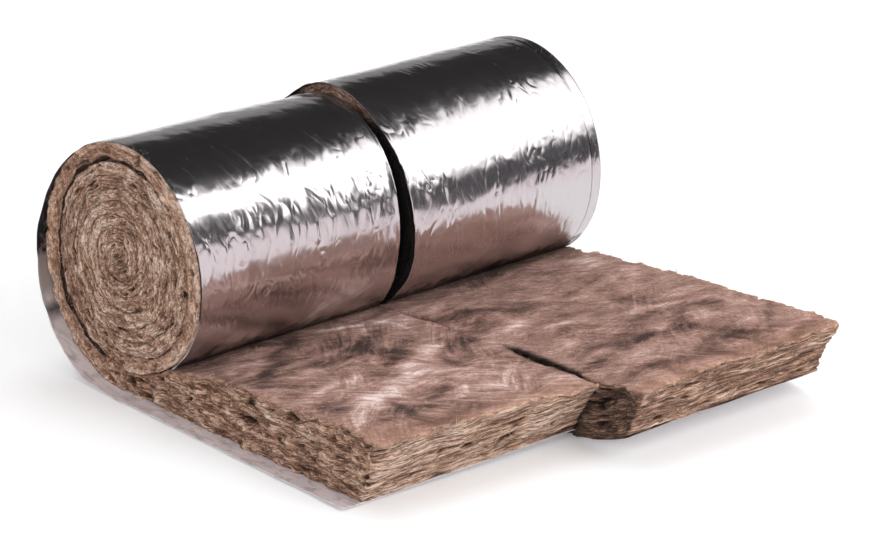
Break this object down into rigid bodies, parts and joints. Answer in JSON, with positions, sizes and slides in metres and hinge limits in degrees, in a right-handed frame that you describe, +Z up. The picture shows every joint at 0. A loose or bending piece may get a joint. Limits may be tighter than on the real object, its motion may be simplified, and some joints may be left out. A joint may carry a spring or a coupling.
{
  "type": "insulation roll",
  "caption": "Partly unrolled, slit insulation blanket: brown mineral wool with a foil facing on the outside and a bare foil strip along one edge.",
  "frame": {"origin": "middle of the bounding box's underside, on the floor that the blanket lies on", "axes": "+Z up, +X along the roll away from the bare foil strip, and the free ends of the mats point towards -Y"},
  "size_m": [1.25, 1.3112, 0.5722],
  "materials": {
    "wool": "matte",
    "foil": "polished"
  },
  "bodies": {
    "root": {"wool_left": "wool", "wool_right": "wool", "foil_left": "foil", "foil_right": "foil"}
  },
  "joints": []
}
